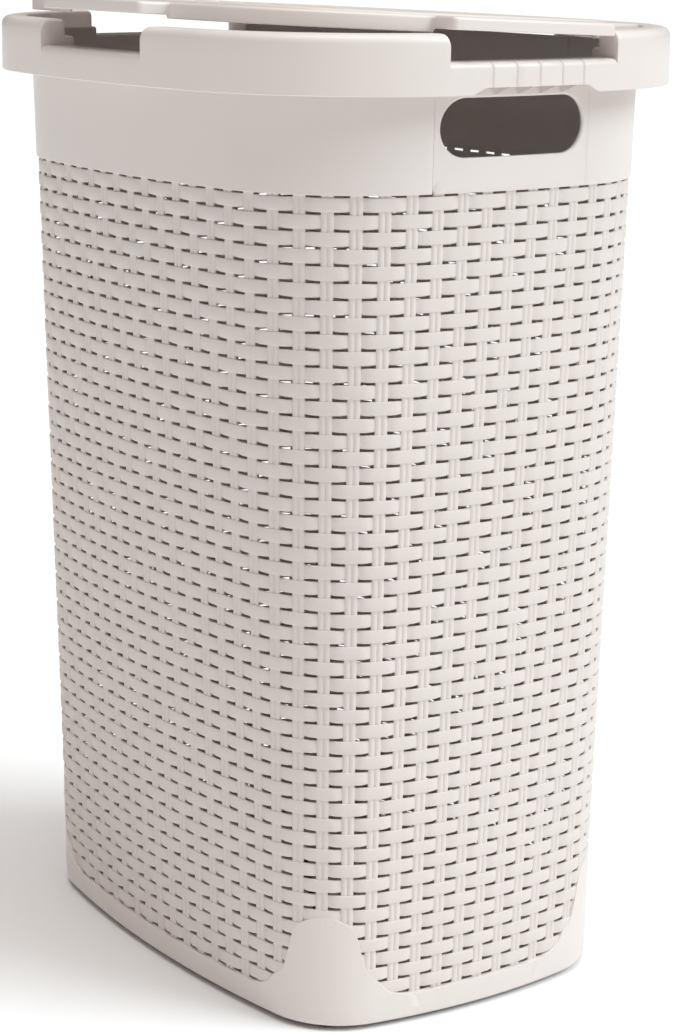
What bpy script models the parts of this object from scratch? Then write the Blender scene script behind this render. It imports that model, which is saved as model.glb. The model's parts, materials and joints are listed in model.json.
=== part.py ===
"""Laundry hamper: a tall tapered tub with a hinged lid, hand grips and push-in feet.

The hamper stands on the plane Z = 0 with its centre on the Z axis. Its long sides face
-Y (front) and +Y (back), its short sides face -X and +X. Every length is in metres.

    blender --background --python part.py
"""

import math

import bmesh
import bpy
from mathutils import Matrix, Vector

# ---------------------------------------------------------------- driving sizes
TUB_HEIGHT = 0.6146             # floor to the top of the raised rim corners
BASE_HALF_LENGTH = 0.1836       # plan of the outer wall, carried down to the floor
BASE_HALF_WIDTH = 0.1306
BASE_CORNER_RADIUS = 0.0538
TOP_HALF_LENGTH = 0.2006        # plan of the outer wall at the top of the rim
TOP_HALF_WIDTH = 0.1571
TOP_CORNER_RADIUS = 0.1060
LONG_SIDE_BOW_RADIUS = 0.850    # the sides swell outwards on these wide arcs
SHORT_SIDE_BOW_RADIUS = 0.4176

# ---------------------------------------------------------------- tub
WALL = 0.0030
FLOOR_THICKNESS = 0.0030
BASE_CLEARANCE = 0.0030         # the base stands this far above the floor, on its feet
BASE_EDGE_RADIUS = 0.0050

# ---------------------------------------------------------------- rim
RIM_OVERHANG = 0.0200           # skirt's outer face beyond the outer wall
RIM_SKIRT_HEIGHT = 0.0350
RIM_TOP_ROUNDING = 0.0060
RIM_WALL = 0.0028
CORNER_INNER_OFFSET = 0.0030    # inner face of a raised corner beyond the outer wall
LEDGE_DROP = 0.0106             # the lid's ledge below the top of the raised corners
SLOT_HALF_LENGTH = 0.0618       # finger slot in the middle of the front and of each short side
SLOT_DEPTH = 0.0161
SILL_INSET = 0.0004             # outer face of the back slot's sill inside the outer wall
SILL_DROP = 0.0003              # sill's top below the ledge

# ---------------------------------------------------------------- short-side grips
GRIP_STEP_RISE = 0.0044         # the skirt is shorter in the middle of the grip
GRIP_STEP_HALF_TOP = 0.0360
GRIP_STEP_HALF_BOTTOM = 0.0480
GRIP_RIB_COUNT = 5
GRIP_RIB_PITCH = 0.0168
GRIP_RIB_THICKNESS = 0.0018
GRIP_GROOVE_WIDTH = 0.0014
GRIP_GROOVE_DEPTH = 0.0009

# ---------------------------------------------------------------- handle holes
HANDLE_HALF_LENGTH = 0.0530
HANDLE_HEIGHT = 0.0345
HANDLE_DROP = 0.0548            # hole's centre below the top of the raised corners

# ---------------------------------------------------------------- lid
LID_FIT = 0.0003                # gap between the closed lid and its ledge
LID_TOP_DROP = 0.0006           # the closed lid lies this far below the raised corners
LID_WALL = 0.0025
TAB_CLEARANCE = 0.0015          # gap at each end of a lid tab in its slot
TAB_SKIRT = 0.0075
AJAR_ANGLE = math.radians(2.6)  # the lid is stored a little open

# ---------------------------------------------------------------- hinge
HINGE_BACKSET = 0.0114          # hinge axis behind the lid's rear edge
HINGE_DROP = 0.0076             # hinge axis below the top of the raised corners
HINGE_SPACING = 0.0880          # centre to centre of the two hinges
KNUCKLE_LENGTH = 0.0120
KNUCKLE_RADIUS = 0.0060
EAR_THICKNESS = 0.0040
EAR_RADIUS = 0.0065
EAR_GAP = 0.0004
PIN_RADIUS = 0.0025
PIN_HEAD_RADIUS = 0.0040
PIN_HEAD_THICKNESS = 0.0016
PIN_CLEARANCE = 0.0003
BACK_SLOT_CLEARANCE = 0.0058    # gap between a pin's head and the end of the back slot

# ---------------------------------------------------------------- feet
FOOT_RADIUS = 0.0090
FOOT_INSET = 0.0155             # foot's centre inside the corner of the base
FOOT_PEG_RADIUS = 0.0030
FOOT_PEG_CLEARANCE = 0.0003
SEAT_GAP = 0.0003               # gap between a foot's pad and the base

# ---------------------------------------------------------------- fineness of round shapes
SIDE_STEPS = 5                  # pieces in half of a side's arc
CORNER_STEPS = 12
ROUND_STEPS = 32
FILLET_STEPS = 3
REACH = 0.3000                  # half size of a cutter that has to pass right across
SLOT_BOX_START = 0.0100         # a slot's cutting box starts this far from the middle plane

LEDGE_Z = TUB_HEIGHT - LEDGE_DROP
RIM_BOTTOM_Z = TUB_HEIGHT - RIM_SKIRT_HEIGHT
SLOT_FLOOR_Z = TUB_HEIGHT - SLOT_DEPTH
SILL_TOP_Z = LEDGE_Z - SILL_DROP
HINGE_REACH = KNUCKLE_LENGTH / 2 + EAR_GAP + EAR_THICKNESS + PIN_HEAD_THICKNESS
BACK_SLOT_HALF_LENGTH = HINGE_SPACING / 2 + HINGE_REACH + BACK_SLOT_CLEARANCE
HANDLE_Z = TUB_HEIGHT - HANDLE_DROP
LID_TOP_Z = TUB_HEIGHT - LID_TOP_DROP
HINGE_Y = TOP_HALF_WIDTH + HINGE_BACKSET
HINGE_Z = TUB_HEIGHT - HINGE_DROP


# ---------------------------------------------------------------- scene helpers
def clear_scene():
    for item in list(bpy.data.objects):
        bpy.data.objects.remove(item, do_unlink=True)


def new_collection(name, shown):
    collection = bpy.data.collections.new(name)
    bpy.context.scene.collection.children.link(collection)
    collection.hide_render = not shown
    return collection


def new_material(name, color, roughness):
    material = bpy.data.materials.new(name)
    material.use_nodes = True
    shader = material.node_tree.nodes["Principled BSDF"]
    shader.inputs["Base Color"].default_value = (*color, 1.0)
    shader.inputs["Roughness"].default_value = roughness
    shader.inputs["Metallic"].default_value = 0.0
    return material


def object_from(bm, name, collection):
    """Turns a bmesh into a named object with its faces pointing out."""
    bmesh.ops.recalc_face_normals(bm, faces=bm.faces)
    mesh = bpy.data.meshes.new(name)
    bm.to_mesh(mesh)
    bm.free()
    made = bpy.data.objects.new(name, mesh)
    collection.objects.link(made)
    if collection is CUTTERS:
        made.hide_render = True
        made.display_type = "WIRE"
    return made


def boolean(target, other, operation):
    modifier = target.modifiers.new(f"{operation.lower()} {other.name}", "BOOLEAN")
    modifier.operation = operation
    modifier.solver = "EXACT"
    modifier.object = other


# ---------------------------------------------------------------- plan outlines
def plan_at(z, offset=0.0):
    """Half length, half width and corner radius of the outer wall at a height."""
    share = z / TUB_HEIGHT
    length = BASE_HALF_LENGTH + (TOP_HALF_LENGTH - BASE_HALF_LENGTH) * share
    width = BASE_HALF_WIDTH + (TOP_HALF_WIDTH - BASE_HALF_WIDTH) * share
    radius = BASE_CORNER_RADIUS + (TOP_CORNER_RADIUS - BASE_CORNER_RADIUS) * share
    return length + offset, width + offset, radius + offset


def corner_centre(length, width, radius, long_bow, short_bow):
    """Centre of the corner arc that touches both side arcs from the inside."""
    long_centre = Vector((0.0, width - long_bow))
    short_centre = Vector((length - short_bow, 0.0))
    across = short_centre - long_centre
    gap = across.length
    to_long = long_bow - radius
    to_short = short_bow - radius
    along = (to_long ** 2 - to_short ** 2 + gap ** 2) / (2 * gap)
    aside = math.sqrt(max(to_long ** 2 - along ** 2, 0.0))
    direction = across / gap
    return long_centre + direction * along + Vector((direction.y, -direction.x)) * aside


def outline(z, offset=0.0):
    """Closed plan outline at a height: two bowed long sides, two bowed short sides, four corners."""
    length, width, radius = plan_at(z, offset)
    long_bow = LONG_SIDE_BOW_RADIUS + offset
    short_bow = SHORT_SIDE_BOW_RADIUS + offset
    centre = corner_centre(length, width, radius, long_bow, short_bow)
    start = math.atan2(centre.y, centre.x - (length - short_bow))
    end = math.atan2(centre.y - (width - long_bow), centre.x)
    quarter = []
    for step in range(SIDE_STEPS):
        angle = start * step / SIDE_STEPS
        quarter.append((length - short_bow + short_bow * math.cos(angle), short_bow * math.sin(angle)))
    for step in range(CORNER_STEPS):
        angle = start + (end - start) * step / CORNER_STEPS
        quarter.append((centre.x + radius * math.cos(angle), centre.y + radius * math.sin(angle)))
    for step in range(SIDE_STEPS):
        angle = end + (math.pi / 2 - end) * step / SIDE_STEPS
        quarter.append((long_bow * math.cos(angle), width - long_bow + long_bow * math.sin(angle)))
    left = [(-x, y) for x, y in reversed(quarter[1:])]
    half = quarter + [(0.0, width)] + left
    return half + [(-length, 0.0)] + [(x, -y) for x, y in reversed(half[1:])]


def loft(name, collection, levels, ring=False):
    """Skin through plan outlines; a level is its height, the outline's height and its offset.

    The first and last outlines are filled, or joined to each other where ring is set.
    """
    bm = bmesh.new()
    rows = [[bm.verts.new((x, y, z)) for x, y in outline(plan_z, offset)] for z, plan_z, offset in levels]
    pairs = list(zip(rows, rows[1:]))
    if ring:
        pairs.append((rows[-1], rows[0]))
    else:
        bm.faces.new(rows[0])
        bm.faces.new(rows[-1])
    for low, high in pairs:
        for index in range(len(low)):
            after = (index + 1) % len(low)
            bm.faces.new((low[index], low[after], high[after], high[index]))
    bmesh.ops.triangulate(bm, faces=bm.faces)
    return object_from(bm, name, collection)


def fillet(z, offset, radius, plan_z, rising):
    """Levels of a rounded edge: upwards from a base's underside, or up to a top."""
    levels = []
    for step in range(FILLET_STEPS + 1):
        angle = math.pi / 2 * step / FILLET_STEPS
        if rising:
            levels.append((z + radius * (1 - math.cos(angle)), plan_z, offset - radius * (1 - math.sin(angle))))
        else:
            levels.append((z - radius * (1 - math.sin(angle)), plan_z, offset - radius * (1 - math.cos(angle))))
    return levels


# ---------------------------------------------------------------- other solids
def box(name, collection, low, high):
    bm = bmesh.new()
    size = [top - bottom for bottom, top in zip(low, high)]
    middle = [(top + bottom) / 2 for bottom, top in zip(low, high)]
    bmesh.ops.create_cube(bm, size=1.0, matrix=Matrix.Translation(middle) @ Matrix.Diagonal((*size, 1.0)))
    return object_from(bm, name, collection)


def prism_along_x(name, collection, points, low_x, high_x):
    """Solid whose YZ outline is points, between two values of X."""
    bm = bmesh.new()
    face = bm.faces.new([bm.verts.new((low_x, y, z)) for y, z in points])
    grown = bmesh.ops.extrude_face_region(bm, geom=[face])["geom"]
    moved = [item for item in grown if isinstance(item, bmesh.types.BMVert)]
    bmesh.ops.translate(bm, verts=moved, vec=(high_x - low_x, 0.0, 0.0))
    return object_from(bm, name, collection)


def rod_along_x(name, collection, centre, radius, length):
    bm = bmesh.new()
    turn = Matrix.Translation(centre) @ Matrix.Rotation(math.pi / 2, 4, "Y")
    bmesh.ops.create_cone(bm, cap_ends=True, segments=ROUND_STEPS, radius1=radius, radius2=radius,
                          depth=length, matrix=turn)
    return object_from(bm, name, collection)


def turned(name, collection, profile):
    """Turns a profile of (radius, height) points round its own Z axis."""
    bm = bmesh.new()
    verts = [bm.verts.new((radius, 0.0, z)) for radius, z in reversed(profile)]
    for first, second in zip(verts, verts[1:]):
        bm.edges.new((first, second))
    mesh = bpy.data.meshes.new(name)
    bm.to_mesh(mesh)
    bm.free()
    made = bpy.data.objects.new(name, mesh)
    collection.objects.link(made)
    screw = made.modifiers.new("turn", "SCREW")
    screw.axis = "Z"
    screw.steps = ROUND_STEPS
    screw.render_steps = ROUND_STEPS
    screw.use_merge_vertices = True
    screw.merge_threshold = 0.00001
    return made


def stadium(half_length, height, centre_z):
    """YZ outline of an oblong with round ends."""
    radius = height / 2
    points = []
    for side in (1, -1):
        for step in range(ROUND_STEPS // 2 + 1):
            angle = math.pi * step / (ROUND_STEPS // 2) - math.pi / 2
            y = side * (half_length - radius + radius * math.cos(angle))
            points.append((y, centre_z + side * radius * math.sin(angle)))
    return points


def spread(count, pitch):
    """Places in a row of count items, evenly about 0."""
    return [(index - (count - 1) / 2) * pitch for index in range(count)]


# ---------------------------------------------------------------- tub and rim
def slot_cutter(name, margin, low_z, along):
    """Boxes that cross two opposite sides above a height; along is the sides' own direction."""
    half = SLOT_HALF_LENGTH + margin
    back_half = BACK_SLOT_HALF_LENGTH + margin
    top_z = TUB_HEIGHT + REACH
    if along == "X":
        cutter = box(name, CUTTERS, (-half, -REACH, low_z), (half, -SLOT_BOX_START, top_z))
        other = box(f"{name}_other", CUTTERS, (-back_half, SLOT_BOX_START, low_z), (back_half, REACH, top_z))
    else:
        cutter = box(name, CUTTERS, (-REACH, -half, low_z), (-SLOT_BOX_START, half, top_z))
        other = box(f"{name}_other", CUTTERS, (SLOT_BOX_START, -half, low_z), (REACH, half, top_z))
    boolean(cutter, other, "UNION")
    return cutter


def tub_levels():
    """Section of the moulding, from under the base, up the wall, round the rim and down inside."""
    skirt_inner = RIM_OVERHANG - RIM_WALL
    corner_inner = CORNER_INNER_OFFSET + RIM_WALL
    ceiling_z = LEDGE_Z - RIM_WALL
    floor_z = BASE_CLEARANCE + FLOOR_THICKNESS
    levels = fillet(BASE_CLEARANCE, 0.0, BASE_EDGE_RADIUS, BASE_CLEARANCE, rising=True)
    levels += [(ceiling_z, ceiling_z, 0.0), (ceiling_z, TUB_HEIGHT, corner_inner)]
    levels += [(TUB_HEIGHT - RIM_WALL, TUB_HEIGHT, corner_inner), (TUB_HEIGHT - RIM_WALL, TUB_HEIGHT, skirt_inner)]
    levels += [(RIM_BOTTOM_Z, TUB_HEIGHT, skirt_inner), (RIM_BOTTOM_Z, TUB_HEIGHT, RIM_OVERHANG)]
    levels += fillet(TUB_HEIGHT, RIM_OVERHANG, RIM_TOP_ROUNDING, TUB_HEIGHT, rising=False)
    levels += [(TUB_HEIGHT, TUB_HEIGHT, CORNER_INNER_OFFSET), (LEDGE_Z, TUB_HEIGHT, CORNER_INNER_OFFSET)]
    levels += [(LEDGE_Z, LEDGE_Z, -WALL), (floor_z, floor_z, -WALL)]
    return levels


def grip_bar(body, along):
    """Closes the rim's channel under a pair of slots and at their ends."""
    low_z = SLOT_FLOOR_Z - RIM_WALL
    ledge_z = LEDGE_Z - RIM_WALL / 2
    top_z = TUB_HEIGHT - RIM_WALL / 2
    wall_middle = -WALL / 2
    corner_middle = CORNER_INNER_OFFSET + RIM_WALL / 2
    skirt_middle = RIM_OVERHANG - RIM_WALL / 2
    section = [(low_z, wall_middle), (low_z, skirt_middle), (top_z, skirt_middle), (top_z, corner_middle),
               (ledge_z, corner_middle), (ledge_z, wall_middle)]
    bar = loft(f"grip_bar_{along}", CUTTERS, [(z, TUB_HEIGHT, offset) for z, offset in section], ring=True)
    ends = slot_cutter(f"grip_bar_ends_{along}", RIM_WALL, RIM_BOTTOM_Z, along)
    boolean(bar, ends, "INTERSECT")
    boolean(body, bar, "UNION")


def back_sill(body):
    """Low wall that closes the back slot up to the lid's rear skirt, in front of the hinges."""
    levels = [(SLOT_FLOOR_Z - RIM_WALL / 2, -WALL), (SLOT_FLOOR_Z - RIM_WALL / 2, -SILL_INSET),
              (SILL_TOP_Z, -SILL_INSET), (SILL_TOP_Z, -WALL)]
    sill = loft("back_sill", CUTTERS, [(z, TUB_HEIGHT, offset) for z, offset in levels], ring=True)
    reach = BACK_SLOT_HALF_LENGTH + RIM_WALL
    ends = box("back_sill_ends", CUTTERS, (-reach, 0.0, RIM_BOTTOM_Z), (reach, REACH, TUB_HEIGHT))
    boolean(sill, ends, "INTERSECT")
    boolean(body, sill, "UNION")


def grip_ribs(body, side):
    """Ribs that tie the skirt to the wall under a grip, with a groove over each one."""
    wall_x = plan_at(RIM_BOTTOM_Z)[0]
    skirt_x = TOP_HALF_LENGTH + RIM_OVERHANG
    low_z = RIM_BOTTOM_Z + GRIP_STEP_RISE + RIM_WALL / 2
    for index, y in enumerate(spread(GRIP_RIB_COUNT, GRIP_RIB_PITCH)):
        ends = sorted((side * (wall_x - WALL / 2), side * (skirt_x - RIM_WALL)))
        rib = box(f"rib_{side}_{index}", CUTTERS, (ends[0], y - GRIP_RIB_THICKNESS / 2, low_z),
                  (ends[1], y + GRIP_RIB_THICKNESS / 2, SLOT_FLOOR_Z - RIM_WALL / 2))
        boolean(body, rib, "UNION")
        sag = skirt_x - outline_x_at(y)
        ends = sorted((side * (skirt_x - sag - GRIP_GROOVE_DEPTH), side * (skirt_x + WALL)))
        groove = box(f"groove_{side}_{index}", CUTTERS, (ends[0], y - GRIP_GROOVE_WIDTH / 2, RIM_BOTTOM_Z - WALL),
                     (ends[1], y + GRIP_GROOVE_WIDTH / 2, TUB_HEIGHT))
        boolean(body, groove, "DIFFERENCE")


def outline_x_at(y):
    """X of the skirt's outer face at a place along a short side."""
    bow = SHORT_SIDE_BOW_RADIUS + RIM_OVERHANG
    return TOP_HALF_LENGTH + RIM_OVERHANG - bow + math.sqrt(bow ** 2 - y ** 2)


def hinge_ears(body):
    """Two pairs of ears on the back of the rim, bored for the hinge pins."""
    reach = KNUCKLE_LENGTH / 2 + EAR_GAP
    for hinge in (-1, 1):
        for ear in (-1, 1):
            x = hinge * HINGE_SPACING / 2 + ear * (reach + EAR_THICKNESS / 2)
            name = f"ear_{hinge}_{ear}"
            round_top = rod_along_x(name, CUTTERS, (x, HINGE_Y, HINGE_Z), EAR_RADIUS, EAR_THICKNESS)
            post = box(f"{name}_post", CUTTERS,
                       (x - EAR_THICKNESS / 2, HINGE_Y - EAR_RADIUS, SLOT_FLOOR_Z - RIM_WALL / 2),
                       (x + EAR_THICKNESS / 2, HINGE_Y + EAR_RADIUS, HINGE_Z))
            boolean(body, post, "UNION")
            boolean(body, round_top, "UNION")
        bore = rod_along_x(f"pin_bore_{hinge}", CUTTERS, (hinge * HINGE_SPACING / 2, HINGE_Y, HINGE_Z),
                           PIN_RADIUS + PIN_CLEARANCE, 2 * (reach + EAR_THICKNESS) + WALL)
        boolean(body, bore, "DIFFERENCE")


def foot_places():
    """Centres of the feet, inside the corners of the base along each corner's diagonal."""
    length, width, radius = plan_at(BASE_CLEARANCE)
    centre = corner_centre(length, width, radius, LONG_SIDE_BOW_RADIUS, SHORT_SIDE_BOW_RADIUS)
    reach = (radius - FOOT_INSET) / math.sqrt(2)
    x, y = centre.x + reach, centre.y + reach
    return {"front_left": (-x, -y), "front_right": (x, -y), "back_left": (-x, y), "back_right": (x, y)}


def make_body(collection, material):
    body = loft("hamper_body", collection, tub_levels())
    body.data.materials.append(material)
    for along in ("X", "Y"):
        grip_bar(body, along)
    for along in ("X", "Y"):
        boolean(body, slot_cutter(f"slot_{along}", 0.0, SLOT_FLOOR_Z, along), "DIFFERENCE")
    back_sill(body)
    handles = prism_along_x("handle_holes", CUTTERS, stadium(HANDLE_HALF_LENGTH, HANDLE_HEIGHT, HANDLE_Z),
                            -TOP_HALF_LENGTH - WALL, TOP_HALF_LENGTH + WALL)
    boolean(body, handles, "DIFFERENCE")
    step_low = RIM_BOTTOM_Z - WALL
    step = [(-GRIP_STEP_HALF_BOTTOM, RIM_BOTTOM_Z), (-GRIP_STEP_HALF_TOP, RIM_BOTTOM_Z + GRIP_STEP_RISE),
            (GRIP_STEP_HALF_TOP, RIM_BOTTOM_Z + GRIP_STEP_RISE), (GRIP_STEP_HALF_BOTTOM, RIM_BOTTOM_Z),
            (GRIP_STEP_HALF_BOTTOM, step_low), (-GRIP_STEP_HALF_BOTTOM, step_low)]
    for side in (-1, 1):
        ends = sorted((side * (TOP_HALF_LENGTH + RIM_OVERHANG / 2), side * REACH))
        boolean(body, prism_along_x(f"grip_step_{side}", CUTTERS, step, *ends), "DIFFERENCE")
        grip_ribs(body, side)
    hinge_ears(body)
    for name, place in foot_places().items():
        boolean(body, peg_hole(f"peg_hole_{name}", place), "DIFFERENCE")
    return body


def peg_hole(name, place):
    bm = bmesh.new()
    radius = FOOT_PEG_RADIUS + FOOT_PEG_CLEARANCE
    bmesh.ops.create_cone(bm, cap_ends=True, segments=ROUND_STEPS, radius1=radius, radius2=radius,
                          depth=4 * (BASE_CLEARANCE + FLOOR_THICKNESS), matrix=Matrix.Translation((*place, 0.0)))
    return object_from(bm, name, CUTTERS)


# ---------------------------------------------------------------- lid
def tab_solid(name, along, inset, low_z, top_z):
    """The lid's tabs on both short sides, or on the front, as a solid shrunk by an inset."""
    offset = RIM_OVERHANG - inset
    tab = loft(name, CUTTERS, [(low_z, TUB_HEIGHT, offset), (top_z, TUB_HEIGHT, offset)])
    half = SLOT_HALF_LENGTH - TAB_CLEARANCE - inset
    across = (half, REACH) if along == "X" else (REACH, half)
    far_y = 0.0 if along == "X" else half
    strip = box(f"{name}_strip", CUTTERS, (-across[0], -across[1], low_z - WALL), (across[0], far_y, top_z + WALL))
    boolean(tab, strip, "INTERSECT")
    return tab


def make_lid(collection, material):
    """The lid in its closed position: a plate with a skirt, three tabs and two hinge arms."""
    low_z = LEDGE_Z + LID_FIT
    plate_z = LID_TOP_Z - LID_WALL
    levels = [(plate_z, TUB_HEIGHT, -LID_WALL), (low_z, TUB_HEIGHT, -LID_WALL), (low_z, TUB_HEIGHT, 0.0),
              (LID_TOP_Z, TUB_HEIGHT, 0.0)]
    lid = loft("lid", collection, levels)
    lid.data.materials.append(material)
    for along in ("X", "Y"):
        tab = tab_solid(f"lid_tab_{along}", along, 0.0, LID_TOP_Z - TAB_SKIRT, LID_TOP_Z)
        boolean(lid, tab, "UNION")
    for along in ("X", "Y"):
        boolean(lid, tab_solid(f"tab_hollow_{along}", along, LID_WALL, low_z - WALL, plate_z), "DIFFERENCE")
    for hinge in (-1, 1):
        x = hinge * HINGE_SPACING / 2
        arm = box(f"arm_{hinge}", CUTTERS, (x - KNUCKLE_LENGTH / 2, TOP_HALF_WIDTH - LID_WALL, HINGE_Z - LID_WALL),
                  (x + KNUCKLE_LENGTH / 2, HINGE_Y, LID_TOP_Z - LID_FIT))
        knuckle = rod_along_x(f"knuckle_{hinge}", CUTTERS, (x, HINGE_Y, HINGE_Z), KNUCKLE_RADIUS, KNUCKLE_LENGTH)
        bore = rod_along_x(f"knuckle_bore_{hinge}", CUTTERS, (x, HINGE_Y, HINGE_Z), PIN_RADIUS + PIN_CLEARANCE,
                           KNUCKLE_LENGTH + WALL)
        boolean(lid, arm, "UNION")
        boolean(lid, knuckle, "UNION")
        boolean(lid, bore, "DIFFERENCE")
    return lid


def hang_on_hinge(lid):
    """Puts the lid's origin on the hinge axis and opens it to its stored angle."""
    bpy.context.view_layer.update()
    graph = bpy.context.evaluated_depsgraph_get()
    solid = bpy.data.meshes.new_from_object(lid.evaluated_get(graph))
    lid.modifiers.clear()
    solid.transform(Matrix.Translation((0.0, -HINGE_Y, -HINGE_Z)))
    lid.data = solid
    lid.location = (0.0, HINGE_Y, HINGE_Z)
    lid.rotation_euler = (-AJAR_ANGLE, 0.0, 0.0)


# ---------------------------------------------------------------- small pieces
def make_pin(name, side, collection, material):
    """Headed pin on the hinge axis, pushed in from the outer side."""
    half = KNUCKLE_LENGTH / 2 + EAR_GAP + EAR_THICKNESS
    head = half + PIN_CLEARANCE
    profile = [(0.0, -half), (PIN_RADIUS - PIN_CLEARANCE, -half), (PIN_RADIUS, -half + PIN_CLEARANCE),
               (PIN_RADIUS, head), (PIN_HEAD_RADIUS, head),
               (PIN_HEAD_RADIUS, head + PIN_HEAD_THICKNESS), (0.0, head + PIN_HEAD_THICKNESS)]
    pin = turned(name, collection, profile)
    pin.location = (side * HINGE_SPACING / 2, HINGE_Y, HINGE_Z)
    pin.rotation_euler = (0.0, side * math.pi / 2, 0.0)
    pin.data.materials.append(material)


def make_foot(name, place, collection, material):
    """Round pad with a peg that pushes into the base."""
    seat = BASE_CLEARANCE - SEAT_GAP
    top = BASE_CLEARANCE + FLOOR_THICKNESS
    rounding = seat / 3
    profile = [(0.0, 0.0), (FOOT_RADIUS - rounding, 0.0), (FOOT_RADIUS, rounding), (FOOT_RADIUS, seat),
               (FOOT_PEG_RADIUS, seat), (FOOT_PEG_RADIUS, top), (0.0, top)]
    foot = turned(name, collection, profile)
    foot.location = (*place, 0.0)
    foot.data.materials.append(material)


clear_scene()
PARTS = new_collection("laundry_hamper", shown=True)
CUTTERS = new_collection("cutters", shown=False)
IVORY = new_material("ivory_polypropylene", (0.83, 0.79, 0.74), 0.45)
LID_IVORY = new_material("ivory_polypropylene_lid", (0.85, 0.81, 0.76), 0.45)
PIN_IVORY = new_material("ivory_acetal", (0.80, 0.76, 0.70), 0.35)
FOOT_BROWN = new_material("brown_rubber", (0.10, 0.07, 0.05), 0.75)

make_body(PARTS, IVORY)
hang_on_hinge(make_lid(PARTS, LID_IVORY))
for pin_name, pin_side in (("hinge_pin_left", -1), ("hinge_pin_right", 1)):
    make_pin(pin_name, pin_side, PARTS, PIN_IVORY)
for corner, corner_place in foot_places().items():
    make_foot(f"foot_{corner}", corner_place, PARTS, FOOT_BROWN)
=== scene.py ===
# %% [markdown]
# # A lidded laundry hamper in woven-look plastic
#
# The real hamper is three kinds of moulding: a tall tub whose wall imitates wicker, a lid that drops
# between four raised rim corners, and small fittings (hinge pins, and feet coloured dark brown). Every
# surface here is a formula: a closed plan outline that grows with height, and profiles carried round it.
# That is how the mould itself is drawn, and it keeps weave, collar, rim and lid in register with each other.

import json
import math

import bpy
import numpy as np
from mathutils import Matrix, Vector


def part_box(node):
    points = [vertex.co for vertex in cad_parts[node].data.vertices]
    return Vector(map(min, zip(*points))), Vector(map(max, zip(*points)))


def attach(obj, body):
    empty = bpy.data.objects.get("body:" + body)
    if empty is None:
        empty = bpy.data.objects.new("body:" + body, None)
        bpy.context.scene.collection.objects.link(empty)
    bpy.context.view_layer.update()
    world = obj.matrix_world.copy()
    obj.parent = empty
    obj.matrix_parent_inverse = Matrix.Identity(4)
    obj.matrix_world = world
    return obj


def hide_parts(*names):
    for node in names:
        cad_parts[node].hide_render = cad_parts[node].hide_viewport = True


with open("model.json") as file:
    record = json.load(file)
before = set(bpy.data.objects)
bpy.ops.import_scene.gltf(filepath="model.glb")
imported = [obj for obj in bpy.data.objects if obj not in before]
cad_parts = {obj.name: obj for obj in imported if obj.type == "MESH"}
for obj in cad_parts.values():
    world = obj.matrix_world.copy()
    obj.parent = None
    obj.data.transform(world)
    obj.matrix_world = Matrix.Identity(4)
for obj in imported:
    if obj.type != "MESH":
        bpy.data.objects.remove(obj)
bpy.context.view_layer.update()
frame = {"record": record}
tub_low, tub_high = (np.array(corner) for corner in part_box("hamper_body"))
TUB_TOP = tub_high[2]
MM = 0.001
print("tub top", round(TUB_TOP, 4), "rim half size", tub_high[:2].round(4))

# %% [markdown]
# ## The plan outline
#
# Seen from above the tub is a rounded rectangle whose sides swell on wide arcs. It could be a Bezier
# curve, but then nothing else could be placed on it. As a formula of two numbers, how far round (turn,
# 0 to 1, from the middle of the right short side) and how high, it gives every later piece its place
# and its outward direction.

# %% The plan outline as a function of turn and height
RIM_OVERHANG = 20 * MM
LONG_BOW = 850.0 * MM
SHORT_BOW = 417.6 * MM
LENGTH = (183.6 * MM, tub_high[0] - RIM_OVERHANG)     # half length at the floor and at the rim
WIDTH = (130.6 * MM, tub_high[1] - RIM_OVERHANG)
CORNER = (53.8 * MM, 106.0 * MM)


def wall_frame(turn, z):
    """Point and outward normal of the wall: one short arc, one corner arc and one long arc, mirrored.

    The corner arc touches both side arcs, so its centre is where two circles about their centres cross.
    """
    turn, z = np.broadcast_arrays(np.asarray(turn, float) % 1.0, np.asarray(z, float))
    share = z / TUB_TOP
    half_length, half_width, radius = (low + (high - low) * share for low, high in (LENGTH, WIDTH, CORNER))
    long_y, short_x = half_width - LONG_BOW, half_length - SHORT_BOW
    gap = np.hypot(short_x, long_y)
    to_long, to_short = LONG_BOW - radius, SHORT_BOW - radius
    along = (to_long ** 2 - to_short ** 2 + gap ** 2) / (2 * gap)
    aside = np.sqrt(to_long ** 2 - along ** 2)
    corner_x = (short_x * along - long_y * aside) / gap
    corner_y = long_y + (-long_y * along - short_x * aside) / gap
    start = np.arctan2(corner_y, corner_x - short_x)
    end = np.arctan2(corner_y - long_y, corner_x)
    first = SHORT_BOW * start
    second = first + radius * (end - start)
    quarter = second + LONG_BOW * (math.pi / 2 - end)
    folded = turn % 0.5
    arc = np.where(folded > 0.25, 0.5 - folded, folded) * 4 * quarter
    zones = [arc < first, arc < second]
    angle = np.select(zones, [arc / SHORT_BOW, start + (arc - first) / radius],
                      end + (arc - second) / LONG_BOW)
    reach = np.select(zones, [SHORT_BOW + 0 * arc, radius], LONG_BOW)
    x = np.select(zones, [short_x, corner_x], 0.0) + reach * np.cos(angle)
    y = np.select(zones, [0.0 * arc, corner_y], long_y) + reach * np.sin(angle)
    side_x = np.where((turn > 0.25) & (turn < 0.75), -1.0, 1.0)
    side_y = np.where(turn > 0.5, -1.0, 1.0)
    point = np.stack([x * side_x, y * side_y], -1)
    normal = np.stack([np.cos(angle) * side_x, np.sin(angle) * side_y], -1)
    return point, normal


def on_wall(turn, z, out, plan_z=None, aside=0.0):
    """Point at a turn and height, moved outwards by out and round the wall by aside."""
    point, normal = wall_frame(turn, z if plan_z is None else plan_z)
    tangent = np.stack([-normal[..., 1], normal[..., 0]], -1)
    flat = point + normal * np.asarray(out)[..., None] + tangent * np.asarray(aside)[..., None]
    height = np.broadcast_to(np.asarray(z, float), flat.shape[:-1])
    return np.concatenate([flat, height[..., None]], -1)


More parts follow.
